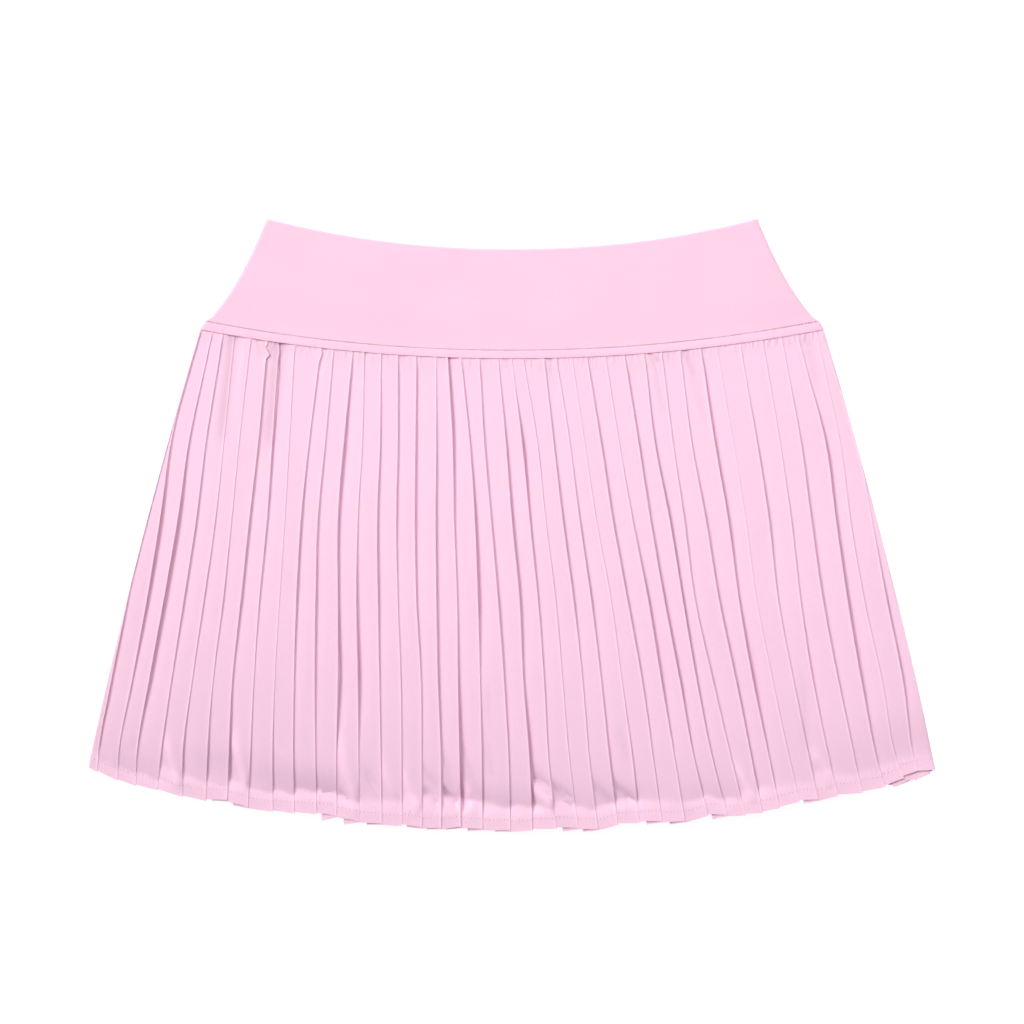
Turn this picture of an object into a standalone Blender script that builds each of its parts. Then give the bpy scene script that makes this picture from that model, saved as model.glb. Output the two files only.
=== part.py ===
# A pleated skort lying flat on its back: a wide pull-on waistband over a knife-pleated
# skirt, with short inner shorts between the skirt's two layers.
# X runs across the garment, +Y towards the waist, +Z up from the surface it lies on.
# The origin is at the middle of its outline, on that surface. Metres.
import math

import bmesh
import bpy

MM = 0.001

# Cloth
WALL = 1.0 * MM             # skirt and shorts
BAND_WALL = 2.2 * MM        # doubled jersey of the waistband
BAND_SEAM_WALL = 3.0 * MM   # thickest at the waist seam, where its edges are turned in
GAP = 0.3 * MM              # between pieces, and between the layers of a pleat

# Outline, seen from above: Y at the middle, and how much higher the corners are
TOP_EDGE = {"middle": 179.4 * MM, "rise": 19.8 * MM, "power": 2.1}
WAIST_SEAM = {"middle": 107.6 * MM, "rise": 18.9 * MM, "power": 2.05}
HEM = {"middle": -199.2 * MM, "rise": 40.3 * MM, "power": 2.15}
TOP_HALF_WIDTH = 159.7 * MM
SEAM_HALF_WIDTH = 202.8 * MM
HEM_HALF_WIDTH = 275.6 * MM
SIDE_FULLNESS = 0.165       # how far the skirt's sides bow out from straight lines
BAND_FLARE = 0.3            # share of the waistband's flare that comes late, near the seam

# Heights of the stack of layers
PLEAT_LAYERS = 3
PANEL = PLEAT_LAYERS * WALL + (PLEAT_LAYERS - 1) * GAP
SHORTS_BACK_FLOOR = PANEL + GAP
SHORTS_FRONT_FLOOR = SHORTS_BACK_FLOOR + WALL + GAP
FRONT_FLOOR = SHORTS_FRONT_FLOOR + WALL + GAP
STACK = FRONT_FLOOR + PANEL
HEM_FLOOR = PANEL + GAP     # past the shorts the front skirt comes down onto the back one
HEM_DROP_START = 0.8        # share of the skirt's length where that begins
BAND_TOP = 2 * BAND_WALL + GAP   # from here the waistband slopes evenly up to the stack

# Waistband
BAND_SIDE_ROLL = 4.5 * MM   # width of the rolled side edge
BAND_STEPS = 20             # stations across
ROLL_STEPS = 4
BAND_ROWS = (0.0, 0.25, 0.5, 0.7, 0.85, 1.0)

# Knife pleats
MIN_FACE = 4.0 * MM         # narrowest face, where the pleats turn round the side
UNDERLAP_SHARE = 0.58       # of a face's width, folded back beneath it
RAMP_ROOM = 2.4 * MM        # least width a face needs to climb over the pleat beside it
CORNER_ROUND = 1.0 * MM
FRONT_ROWS = (0.0, 0.3, 0.6, HEM_DROP_START, 1.0)
BACK_ROWS = (0.0, 0.35, 0.7, 1.0)

# Where each fold of the front crosses four lines, in mm from the middle of the garment.
# The first three lines run straight across at these heights, the fourth is the hem.
FOLD_LINES = (99 * MM, 3 * MM, -101 * MM)
FRONT_FOLDS = (
    # below waist, upper, lower, hem
    (-214.0, -241.0, -260.0, -269.5),
    (-210.5, -228.5, -246.5, -256.5),
    (-200.0, -217.0, -235.5, -244.5),
    (-191.5, -205.0, -220.5, -230.5),
    (-182.5, -192.5, -207.5, -214.0),
    (-172.0, -182.0, -194.0, -199.0),
    (-160.5, -170.5, -181.5, -185.0),
    (-152.5, -159.0, -167.5, -171.5),
    (-142.0, -147.5, -154.0, -155.5),
    (-126.0, -137.5, -141.5, -141.5),
    (-117.0, -126.0, -128.0, -127.0),
    (-104.5, -113.0, -113.0, -114.0),
    (-96.0, -100.0, -100.0, -99.5),
    (-85.0, -88.0, -86.5, -84.5),
    (-74.0, -75.0, -72.0, -71.5),
    (-62.0, -63.0, -59.0, -58.5),
    (-49.0, -49.5, -48.0, -46.0),
    (-41.0, -37.5, -35.0, -33.0),
    (-32.0, -24.0, -20.0, -19.0),
    (-20.5, -13.5, -5.0, -1.0),
    (-8.0, 0.0, 7.5, 13.5),
    (1.0, 11.5, 21.0, 29.0),
    (9.0, 22.0, 33.0, 43.0),
    (22.0, 33.0, 46.0, 56.0),
    (30.5, 44.0, 58.0, 69.0),
    (40.5, 55.0, 72.0, 83.0),
    (50.5, 65.5, 85.0, 97.5),
    (62.5, 78.5, 97.0, 112.5),
    (75.0, 89.5, 108.5, 127.5),
    (87.5, 102.5, 120.0, 140.0),
    (99.0, 111.0, 131.0, 152.0),
    (111.0, 126.0, 144.5, 163.0),
    (125.0, 140.5, 156.0, 174.0),
    (136.0, 152.0, 169.5, 187.0),
    (151.5, 166.5, 183.5, 199.0),
    (166.5, 181.5, 195.5, 212.0),
    (179.5, 194.5, 212.0, 228.0),
    (192.0, 210.0, 227.5, 243.0),
    (203.5, 219.5, 240.5, 255.0),
    (206.5, 231.5, 254.0, 264.0),
)

# Inner shorts
SHORTS_TURN_UP = 8.0 * MM   # how far they reach above the seam, inside the waistband
SHORTS_TOP_HALF = 188.0 * MM
SHORTS_LEG_HALF = 212.0 * MM
SHORTS_SIDE_BOW = 7.0 * MM
SHORTS_LEG_OUTER_Y = -118.0 * MM
SHORTS_LEG_INNER_Y = -132.0 * MM
SHORTS_CROTCH_Y = -70.0 * MM
SHORTS_LEG_GAP_HALF = 14.0 * MM
SHORTS_TOP_STEPS = 8
SHORTS_SIDE_STEPS = 5
SHORTS_CROTCH_STEPS = 4

# Colours (linear), roughness
BAND_COLOUR = (0.93, 0.60, 0.78)
SKIRT_COLOUR = (0.90, 0.58, 0.75)
SHORTS_COLOUR = (0.88, 0.56, 0.73)
JERSEY_ROUGHNESS = 0.85
WOVEN_ROUGHNESS = 0.7


def clear_scene():
    for old in list(bpy.data.objects):
        bpy.data.objects.remove(old, do_unlink=True)


def make_collection(name):
    collection = bpy.data.collections.new(name)
    bpy.context.scene.collection.children.link(collection)
    return collection


def make_material(name, colour, roughness):
    material = bpy.data.materials.new(name)
    material.use_nodes = True
    shader = material.node_tree.nodes["Principled BSDF"]
    shader.inputs["Base Color"].default_value = (*colour, 1.0)
    shader.inputs["Roughness"].default_value = roughness
    shader.inputs["Metallic"].default_value = 0.0
    material.diffuse_color = (*colour, 1.0)
    return material


def smooth(share):
    share = min(max(share, 0.0), 1.0)
    return share * share * (3.0 - 2.0 * share)


def curve_y(curve, across):
    """Y of an edge at a share across the garment, -1 at one side to 1 at the other."""
    return curve["middle"] + curve["rise"] * abs(across) ** curve["power"]


# --- Shells: a wall between paired outer and inner points, row by row ---

def build_shell(name, rows, material, collection):
    """rows: lists of (outer, inner) points from one side edge to the other."""
    mesh = bmesh.new()
    grid = [[(mesh.verts.new(outer), mesh.verts.new(inner)) for outer, inner in row]
            for row in rows]
    for upper, lower in zip(grid, grid[1:]):
        for (a_out, a_in), (b_out, b_in), (c_out, c_in), (d_out, d_in) in zip(
                upper, upper[1:], lower[1:], lower):
            mesh.faces.new((a_out, b_out, c_out, d_out))
            mesh.faces.new((a_in, d_in, c_in, b_in))
        for end in (0, -1):
            mesh.faces.new((upper[end][0], lower[end][0], lower[end][1], upper[end][1]))
    for row in (grid[0], grid[-1]):
        for (a_out, a_in), (b_out, b_in) in zip(row, row[1:]):
            mesh.faces.new((a_out, a_in, b_in, b_out))
    bmesh.ops.triangulate(mesh, faces=mesh.faces[:], quad_method="FIXED")
    bmesh.ops.recalc_face_normals(mesh, faces=mesh.faces[:])
    data = bpy.data.meshes.new(name)
    mesh.to_mesh(data)
    mesh.free()
    data.materials.append(material)
    piece = bpy.data.objects.new(name, data)
    collection.objects.link(piece)
    return piece


# --- Waistband ---

def band_half_width(depth):
    flare = SEAM_HALF_WIDTH - TOP_HALF_WIDTH
    return TOP_HALF_WIDTH + flare * ((1.0 - BAND_FLARE) * depth + BAND_FLARE * depth ** 3)


def band_height(depth):
    """Top of the front layer above the surface, at a share of the band's depth."""
    return BAND_TOP + (STACK - BAND_TOP) * depth


def band_point_y(x, depth):
    across = x / band_half_width(depth)
    top = curve_y(TOP_EDGE, across)
    seam = curve_y(WAIST_SEAM, across) + GAP / 2
    return top + (seam - top) * depth


def band_section(depth, wall):
    """(x, z) pairs of the front layer from the left side edge to the right one."""
    half = band_half_width(depth)
    height = band_height(depth)
    edge = height / 2 + GAP / 2
    rise = height - edge
    left = []
    for step in range(ROLL_STEPS + 1):
        angle = math.pi / 2 * step / ROLL_STEPS
        inward, up = 1.0 - math.cos(angle), math.sin(angle)
        outer = (-half + BAND_SIDE_ROLL * inward, edge + rise * up)
        inner = (-half + wall + (BAND_SIDE_ROLL - wall) * inward, edge + (rise - wall) * up)
        left.append((outer, inner))
    flat = half - BAND_SIDE_ROLL
    middle = []
    for step in range(1, BAND_STEPS):
        x = -flat + 2 * flat * step / BAND_STEPS
        middle.append(((x, height), (x, height - wall)))
    right = [((-outer[0], outer[1]), (-inner[0], inner[1])) for outer, inner in reversed(left)]
    return left + middle + right


def build_waistband(name, turned_over, material, collection):
    rows = []
    for depth in BAND_ROWS:
        wall = BAND_WALL + (BAND_SEAM_WALL - BAND_WALL) * depth
        height = band_height(depth)
        row = []
        for pair in band_section(depth, wall):
            points = []
            for x, z in pair:
                y = band_point_y(x, depth)
                points.append((x, y, height - z) if turned_over else (x, y, z))
            row.append(points)
        rows.append(row)
    return build_shell(name, rows, material, collection)


# --- Skirt ---

def skirt_half_width(length):
    bow = SIDE_FULLNESS * length * (1.0 - length)
    return SEAM_HALF_WIDTH + (HEM_HALF_WIDTH - SEAM_HALF_WIDTH) * (length + bow)


def skirt_point_y(x, length):
    across = x / skirt_half_width(length)
    seam = curve_y(WAIST_SEAM, across) - GAP / 2
    return seam + (curve_y(HEM, across) - seam) * length


def fold_x(fold, y):
    """X where a fold of the front crosses the height y."""
    crossings = [x * MM for x in fold]
    heights = [*FOLD_LINES, curve_y(HEM, crossings[-1] / HEM_HALF_WIDTH)]
    last = len(heights) - 2
    for i in range(last + 1):
        if y >= heights[i + 1] or i == last:
            share = (heights[i] - y) / (heights[i] - heights[i + 1])
            return crossings[i] + (crossings[i + 1] - crossings[i]) * share


def front_folds(length):
    half = skirt_half_width(length)
    count = len(FRONT_FOLDS)
    folds = []
    for number, fold in enumerate(FRONT_FOLDS, start=1):
        x = fold[1] * MM
        for _ in range(4):   # the row is curved, so its height there depends on x
            x = fold_x(fold, skirt_point_y(x, length))
            x = min(max(x, -half + MIN_FACE * number), half - MIN_FACE * (count + 1 - number))
        folds.append(x)
    return folds


def back_folds(length):
    """Evenly spaced, seen from the back's own outer side."""
    half = skirt_half_width(length)
    faces = len(FRONT_FOLDS) + 1
    return [-half + 2 * half * number / faces for number in range(1, faces)]


def ramp(foot, room, low, high):
    """Two pairs: a wall that climbs from one level to the next within the room given."""
    rise = high - low
    run = room
    for _ in range(4):
        slope = math.atan2(rise, run)
        shift = WALL * math.tan(slope / 2)
        run = room - shift
    return [
        ((foot, low + WALL), (foot + shift, low)),
        ((foot + run, high + WALL), (foot + run + shift, high)),
    ]


def pleated_section(folds, half, floor, edge):
    """(x, z) pairs of a pleated wall whose folds all lie over towards +X."""
    low = floor
    middle = floor + WALL + GAP
    high = floor + 2 * (WALL + GAP)
    foot = -half
    pairs = [((-half, edge), (-half + WALL, edge))]
    for fold in folds:
        face = fold - foot
        underlap = min(UNDERLAP_SHARE * face, face - RAMP_ROOM)
        turn = fold - underlap
        pairs += ramp(foot, turn - GAP - foot, low, high)
        pairs += [
            ((fold, high + WALL), (fold - WALL, high)),
            ((fold, middle), (fold - WALL, middle + WALL)),
            ((turn + WALL, middle), (turn, middle + WALL)),
            ((turn + WALL, low + WALL), (turn, low)),
        ]
        foot = fold + GAP
    pairs += ramp(foot, half - WALL - CORNER_ROUND / 2 - foot, low, high)
    pairs += [
        ((half - CORNER_ROUND, high + WALL), (half - WALL, high)),
        ((half, high + WALL - CORNER_ROUND), (half - WALL, high - CORNER_ROUND / 2)),
        ((half, edge), (half - WALL, edge)),
    ]
    return pairs


def front_floor(length):
    drop = smooth((length - HEM_DROP_START) / (1.0 - HEM_DROP_START))
    return FRONT_FLOOR + (HEM_FLOOR - FRONT_FLOOR) * drop


def build_skirt(name, row_lengths, folds_at, turned_over, material, collection):
    rows = []
    for length in row_lengths:
        floor = front_floor(length)
        height = floor + PANEL
        edge = (floor + PANEL + GAP) / 2   # the two layers meet half way up at the sides
        row = []
        for pair in pleated_section(folds_at(length), skirt_half_width(length), floor, edge):
            points = []
            for x, z in pair:
                if turned_over:
                    x, z = -x, height - z
                points.append((x, skirt_point_y(x, length), z))
            row.append(points)
        rows.append(row)
    return build_shell(name, rows, material, collection)


# --- Inner shorts ---

def shorts_outline():
    """Right half of the outline, from the middle of the waist round to the crotch."""
    points = []
    for step in range(SHORTS_TOP_STEPS + 1):
        x = SHORTS_TOP_HALF * step / SHORTS_TOP_STEPS
        points.append((x, curve_y(WAIST_SEAM, x / SEAM_HALF_WIDTH) + SHORTS_TURN_UP))
    side_top = points[-1][1]
    for step in range(1, SHORTS_SIDE_STEPS + 1):
        share = step / SHORTS_SIDE_STEPS
        x = SHORTS_TOP_HALF + (SHORTS_LEG_HALF - SHORTS_TOP_HALF) * share
        x += SHORTS_SIDE_BOW * math.sin(math.pi * share)
        points.append((x, side_top + (SHORTS_LEG_OUTER_Y - side_top) * share))
    for step in range(SHORTS_CROTCH_STEPS):
        angle = math.pi / 2 * step / SHORTS_CROTCH_STEPS
        points.append((SHORTS_LEG_GAP_HALF * math.cos(angle),
                       SHORTS_LEG_INNER_Y
                       + (SHORTS_CROTCH_Y - SHORTS_LEG_INNER_Y) * math.sin(angle)))
    return points


def build_shorts(name, floor, material, collection):
    right = shorts_outline()
    left = [(-x, y) for x, y in reversed(right[1:])]
    outline = right + [(0.0, SHORTS_CROTCH_Y)] + left
    curve = bpy.data.curves.new(name, "CURVE")
    curve.dimensions = "2D"
    curve.fill_mode = "BOTH"
    curve.extrude = WALL / 2
    spline = curve.splines.new("POLY")
    spline.points.add(len(outline) - 1)
    for point, (x, y) in zip(spline.points, outline):
        point.co = (x, y, 0.0, 1.0)
    spline.use_cyclic_u = True
    curve.materials.append(material)
    piece = bpy.data.objects.new(name, curve)
    piece.location.z = floor + WALL / 2
    collection.objects.link(piece)
    return piece


def main():
    clear_scene()
    skort = make_collection("pleated_skort")
    jersey = make_material("waistband_jersey", BAND_COLOUR, JERSEY_ROUGHNESS)
    skirt_cloth = make_material("skirt_cloth", SKIRT_COLOUR, WOVEN_ROUGHNESS)
    shorts_jersey = make_material("shorts_jersey", SHORTS_COLOUR, JERSEY_ROUGHNESS)

    build_waistband("waistband_front", False, jersey, skort)
    build_waistband("waistband_back", True, jersey, skort)
    build_skirt("skirt_front", FRONT_ROWS, front_folds, False, skirt_cloth, skort)
    build_skirt("skirt_back", BACK_ROWS, back_folds, True, skirt_cloth, skort)
    build_shorts("shorts_back", SHORTS_BACK_FLOOR, shorts_jersey, skort)
    build_shorts("shorts_front", SHORTS_FRONT_FLOOR, shorts_jersey, skort)


main()
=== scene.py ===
import math
import bpy
import numpy as np
from mathutils import Matrix, Vector


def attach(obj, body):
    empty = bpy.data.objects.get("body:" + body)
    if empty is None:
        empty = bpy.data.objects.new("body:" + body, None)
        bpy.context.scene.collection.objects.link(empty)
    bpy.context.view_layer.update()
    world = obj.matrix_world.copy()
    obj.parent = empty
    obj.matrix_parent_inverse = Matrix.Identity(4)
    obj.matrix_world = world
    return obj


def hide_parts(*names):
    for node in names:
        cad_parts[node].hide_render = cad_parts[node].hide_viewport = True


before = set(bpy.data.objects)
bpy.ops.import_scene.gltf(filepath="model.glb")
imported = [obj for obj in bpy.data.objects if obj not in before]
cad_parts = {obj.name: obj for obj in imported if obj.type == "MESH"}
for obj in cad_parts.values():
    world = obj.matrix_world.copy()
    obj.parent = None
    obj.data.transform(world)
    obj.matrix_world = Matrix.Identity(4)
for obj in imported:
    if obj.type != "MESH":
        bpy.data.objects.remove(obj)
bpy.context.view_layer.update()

# Lengths are in mm until a mesh is made. x runs across, y towards the waist, z up.
# The waist is at the top of the picture and the garment lies on its back.
mm = 0.001

# the flat garment's outline: height of each edge at the middle, and how far its corners rise
topEdge = {"middle": 179.4, "rise": 19.8, "power": 2.1}
waistSeam = {"middle": 107.6, "rise": 18.9, "power": 2.05}
hemEdge = {"middle": -199.2, "rise": 40.3, "power": 2.15}
halfWidth = {
    "top": 159.7, "seam": 202.8, "hem": 275.6, "bandFlare": 0.3, "skirtBow": 0.165,
    "bulge": 1.8, "bulgeAt": 0.935, "bulgeReach": 0.04,   # the band's sewn-down edge stands out
}
# heights of the layers, as in the solids, and the gaps between them
layers = {
    "skirtTop": 10.1, "skirtTopAtHem": 7.5, "dropFrom": 0.8, "bandTop": 4.7,
    "shortsBack": 3.9, "shortsFront": 5.2, "gap": 0.3, "seamGap": 0.15,
}


def smooth(a):
    a = np.clip(a, 0.0, 1.0)
    return a * a * (3 - 2 * a)


def edgeY(edge, across):
    return edge["middle"] + edge["rise"] * np.abs(across) ** edge["power"]


def skirtHalf(v):   # v is 0 at the waist seam and 1 at the hem
    return halfWidth["seam"] + (halfWidth["hem"] - halfWidth["seam"]) * (v + halfWidth["skirtBow"] * v * (1 - v))


def skirtY(x, v):
    across = np.clip(x / skirtHalf(v), -1, 1)
    seam = edgeY(waistSeam, across) - layers["seamGap"]
    return seam + (edgeY(hemEdge, across) - seam) * v


def skirtTop(v):
    drop = smooth((v - layers["dropFrom"]) / (1 - layers["dropFrom"]))
    return layers["skirtTop"] + (layers["skirtTopAtHem"] - layers["skirtTop"]) * drop


def skirtMiddle(v):   # where the front and the back meet at the sides
    return (skirtTop(v) + layers["gap"]) / 2


def bandHalf(s):   # s is 0 at the top edge and 1 at the seam
    late = halfWidth["bandFlare"]
    even = halfWidth["top"] + (halfWidth["seam"] - halfWidth["top"]) * ((1 - late) * s + late * s ** 3)
    return even + halfWidth["bulge"] * np.exp(-((s - halfWidth["bulgeAt"]) / halfWidth["bulgeReach"]) ** 2)


def bandTopZ(s):
    return layers["bandTop"] + (layers["skirtTop"] - layers["bandTop"]) * s


# a smooth line through a table's values
def curveThrough(stations, values, at):
    stations, values, at = (np.asarray(a, float) for a in (stations, values, at))
    gap = np.diff(stations)
    slope = np.diff(values) / gap
    between = (slope[:-1] * gap[1:] + slope[1:] * gap[:-1]) / (gap[1:] + gap[:-1])
    lean = np.concatenate([slope[:1], between, slope[-1:]])
    i = np.clip(np.searchsorted(stations, at) - 1, 0, len(gap) - 1)
    t = (at - stations[i]) / gap[i]
    inside = np.clip(t, 0, 1)
    a, b = inside ** 2 * (3 - 2 * inside), inside * (1 - inside)
    bend = lean[i] * (1 - inside) - lean[i + 1] * inside
    y = values[i] * (1 - a) + values[i + 1] * a + gap[i] * b * bend
    return y + (t - inside) * gap[i] * np.where(t < 0, lean[i], lean[i + 1])


# slow uneven swells, the same on every run
def swell(x, y, size, seed):
    draw = np.random.default_rng(seed)
    total, waves = 0, 5
    for _ in range(waves):
        turn = draw.uniform(0, math.pi)
        length = size * draw.uniform(0.6, 1.6)
        start = draw.uniform(0, 2 * math.pi)
        total = total + np.sin((x * math.cos(turn) + y * math.sin(turn)) * 2 * math.pi / length + start)
    return total / waves


# how deep a crease is at x, y; creases run from (x0, y0) to (x1, y1)
def creaseDepth(x, y, crease):
    x0, y0, x1, y1, width, depth = crease
    length = math.hypot(x1 - x0, y1 - y0)
    ux, uy = (x1 - x0) / length, (y1 - y0) / length
    along = (x - x0) * ux + (y - y0) * uy
    across = (y - y0) * ux - (x - x0) * uy
    past = np.maximum(0, np.abs(along - length / 2) - length / 2)
    return depth * np.exp(-(across / width) ** 2 - (past / (1.6 * width)) ** 2)


def placeObject(name, data):
    placed = bpy.data.objects.new(name, data)
    bpy.context.scene.collection.objects.link(placed)
    return placed


def smoothMesh(name, points, faces):   # points in mm
    mesh = bpy.data.meshes.new(name)
    mesh.from_pydata((points.reshape(-1, 3) * mm).tolist(), [], faces.tolist())
    mesh.polygons.foreach_set("use_smooth", np.ones(len(faces), bool))
    return mesh


# a cloth shell from its outer and inner surfaces, each rows x columns x 3
def makeShell(name, outer, inner, marks=None):
    rows, columns = outer.shape[:2]
    count = rows * columns
    ids = np.arange(count).reshape(rows, columns)
    a, b, c, d = (q.ravel() for q in (ids[:-1, :-1], ids[:-1, 1:], ids[1:, 1:], ids[1:, :-1]))
    rim = np.concatenate([ids[0, :-1], ids[:-1, -1], ids[-1, :0:-1], ids[:0:-1, 0]])
    following = np.roll(rim, -1)
    quads = np.concatenate([
        np.stack([a, d, c, b], 1),
        np.stack([a, b, c, d], 1) + count,
        np.stack([rim, following, following + count, rim + count], 1),
    ])
    mesh = smoothMesh(name, np.stack([outer, inner]), quads)
    for mark, values in (marks or {}).items():
        attribute = mesh.attributes.new(mark, "FLOAT", "POINT")
        attribute.data.foreach_set("value", np.tile(values.ravel(), 2).astype(np.float32))
    mesh.validate()
    mesh.set_sharp_from_angle(angle=math.radians(65))
    return placeObject(name, mesh)


def finishPiece(piece, material, node=None):
    piece.data.materials.clear()
    piece.data.materials.append(material)
    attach(piece, "root")
    if node:
        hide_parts(node)
    return piece


# Materials

def addNode(tree, kind, **settings):
    node = tree.nodes.new(kind)
    for key, value in settings.items():
        setattr(node, key, value)
    return node


def joinUp(tree, node, **feeds):   # an input's name with _ for spaces = a socket or a value
    for key, value in feeds.items():
        socket = node.inputs[key.replace("_", " ")]
        if isinstance(value, bpy.types.NodeSocket):
            tree.links.new(value, socket)
        else:
            socket.default_value = value
    return node


def sums(tree, operation, first, second=0.0, third=0.0):
    node = addNode(tree, "ShaderNodeMath", operation=operation)
    for i, value in enumerate((first, second, third)):
        if isinstance(value, bpy.types.NodeSocket):
            tree.links.new(value, node.inputs[i])
        else:
            node.inputs[i].default_value = value
    return node.outputs[0]


def smoothFade(tree, value, start, end, first, last):   # from first to last, as value goes from start to end
    node = joinUp(tree, addNode(tree, "ShaderNodeMapRange", interpolation_type="SMOOTHSTEP"), Value=value)
    for key, number in (("From Min", start), ("From Max", end), ("To Min", first), ("To Max", last)):
        node.inputs[key].default_value = number
    return node.outputs["Result"]


def noiseAt(tree, place, dimensions="3D", **feeds):
    node = addNode(tree, "ShaderNodeTexNoise", noise_dimensions=dimensions)
    return joinUp(tree, node, Vector=place, **feeds).outputs["Fac"]


def pointMark(tree, name):   # a value that the mesh carries at its points
    return addNode(tree, "ShaderNodeAttribute", attribute_name=name).outputs["Fac"]


def toned(tree, shade, mask, gain):   # the shade, lighter by the gain where the mask is 1
    return sums(tree, "MULTIPLY", shade, sums(tree, "MULTIPLY_ADD", mask, gain, 1.0))


def tinted(tree, colour, shade):
    tint = addNode(tree, "ShaderNodeMix", data_type="RGBA", blend_type="MULTIPLY")
    tint.inputs["Factor"].default_value = 1.0
    tint.inputs[6].default_value = (*colour, 1)
    tree.links.new(shade, tint.inputs[7])
    return tint.outputs[2]


def startMaterial(name):
    material = bpy.data.materials.new(name)
    material.use_nodes = True
    tree = material.node_tree
    place = addNode(tree, "ShaderNodeTexCoord").outputs["Object"]
    return material, tree, tree.nodes["Principled BSDF"], place


def startGroup(name, outputs, **inputs):   # an input without a number is a vector
    group = bpy.data.node_groups.new(name, "ShaderNodeTree")
    for label, default in inputs.items():
        kind = "NodeSocketVector" if default is None else "NodeSocketFloat"
        socket = group.interface.new_socket(name=label, in_out="INPUT", socket_type=kind)
        if default is not None:
            socket.default_value = default
    for label in outputs:
        group.interface.new_socket(name=label, in_out="OUTPUT", socket_type="NodeSocketFloat")
    return group, group.nodes.new("NodeGroupInput").outputs, group.nodes.new("NodeGroupOutput").inputs


weaveLook = {"wobbleScale": 900.0, "wobble": 5.0, "yarnScale": 1500.0, "threadHeight": 0.5, "shade": 0.06}


def makeWeave():   # crossing threads with uneven yarn, for woven and knitted cloth
    group, given, result = startGroup(
        "clothWeave", ("Shade", "Height"), Vector=None, Pitch=0.0005, Stretch=1.0, Unevenness=0.5)
    parts = addNode(group, "ShaderNodeSeparateXYZ")
    group.links.new(given["Vector"], parts.inputs[0])
    wobble = noiseAt(group, given["Vector"], Scale=weaveLook["wobbleScale"], Detail=2.0)
    turn = sums(group, "DIVIDE", 2 * math.pi, given["Pitch"])
    shift = sums(group, "MULTIPLY", wobble, weaveLook["wobble"])
    warp = sums(group, "SINE", sums(group, "MULTIPLY_ADD", parts.outputs["X"], turn, shift))
    longer = sums(group, "DIVIDE", turn, given["Stretch"])
    weft = sums(group, "SINE", sums(group, "MULTIPLY_ADD", parts.outputs["Y"], longer, shift))
    threads = sums(group, "MULTIPLY", warp, weft)
    yarn = noiseAt(group, given["Vector"], Scale=weaveLook["yarnScale"], Detail=3.0)
    yarnPart = sums(group, "MULTIPLY", sums(group, "SUBTRACT", yarn, 0.5), given["Unevenness"])
    height = sums(group, "MULTIPLY_ADD", threads, weaveLook["threadHeight"], yarnPart)
    group.links.new(height, result["Height"])
    group.links.new(sums(group, "MULTIPLY_ADD", height, weaveLook["shade"], 1.0), result["Shade"])
    return group


def makeMottle():   # slow, faint change of tone
    group, given, result = startGroup(
        "softMottle", ("Shade",), Vector=None, Size=0.03, Amount=0.02, Seed=0.0)
    scale = sums(group, "DIVIDE", 1.0, given["Size"])
    noise = noiseAt(group, given["Vector"], "4D", W=given["Seed"], Scale=scale, Detail=3.0, Roughness=0.55)
    centred = sums(group, "SUBTRACT", noise, 0.5)
    amount = sums(group, "MULTIPLY", given["Amount"], 4.0)
    group.links.new(sums(group, "MULTIPLY_ADD", centred, amount, 1.0), result["Shade"])
    return group


# a hole's rim, as shares of its radius, and how unevenly the holes are pulled shut along the row
holeLook = {"rim": (0.55, 1.15), "pullScale": 0.4, "pull": (2.2, -0.25)}


def makeNeedleHoles():   # small pits in a row, where the needle went through
    group, given, result = startGroup(
        "needleHoles", ("Mask",), Along=0.0, Across=0.0, Row=5.5, Pitch=1.5, Radius=0.3)
    pitches = sums(group, "ADD", sums(group, "DIVIDE", given["Along"], given["Pitch"]), 0.5)
    inPitch = sums(group, "SUBTRACT", sums(group, "FRACT", pitches), 0.5)
    dx = sums(group, "MULTIPLY", inPitch, given["Pitch"])
    dy = sums(group, "SUBTRACT", given["Across"], given["Row"])
    squared = sums(group, "ADD", sums(group, "MULTIPLY", dx, dx), sums(group, "MULTIPLY", dy, dy))
    reach = sums(group, "SQRT", squared)
    mask = smoothFade(group, sums(group, "DIVIDE", reach, given["Radius"]), *holeLook["rim"], 1.0, 0.0)
    slow = sums(group, "MULTIPLY", given["Along"], holeLook["pullScale"])
    place = joinUp(group, addNode(group, "ShaderNodeCombineXYZ"), X=slow, Y=given["Row"])
    noise = noiseAt(group, place.outputs["Vector"], "2D", Scale=1.0, Detail=2.0)
    pull = sums(group, "MINIMUM", sums(group, "MULTIPLY_ADD", noise, *holeLook["pull"]), 1.0)
    group.links.new(sums(group, "MULTIPLY", mask, pull), result["Mask"])
    return group


def makePuckers():   # small uneven gathers beside a row of stitches
    group, given, result = startGroup(
        "stitchPuckers", ("Height",), Along=0.0, Across=0.0, Row=0.0, Reach=6.0, Spacing=2.0)
    place = addNode(group, "ShaderNodeCombineXYZ")
    joinUp(group, place, X=sums(group, "DIVIDE", given["Along"], given["Spacing"]),
           Y=sums(group, "DIVIDE", given["Across"], sums(group, "MULTIPLY", given["Spacing"], 4.0)))
    noise = noiseAt(group, place.outputs["Vector"], "2D", Scale=1.0, Detail=1.0)
    away = sums(group, "ABSOLUTE", sums(group, "SUBTRACT", given["Across"], given["Row"]))
    mask = smoothFade(group, sums(group, "DIVIDE", away, given["Reach"]), 0.0, 1.0, 1.0, 0.0)
    group.links.new(sums(group, "MULTIPLY", noise, mask), result["Height"])
    return group


weave, mottle, needleHoles, stitchPuckers = makeWeave(), makeMottle(), makeNeedleHoles(), makePuckers()


def useGroup(tree, group, **feeds):
    node = addNode(tree, "ShaderNodeGroup", node_tree=group)
    return joinUp(tree, node, **feeds)
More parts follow.
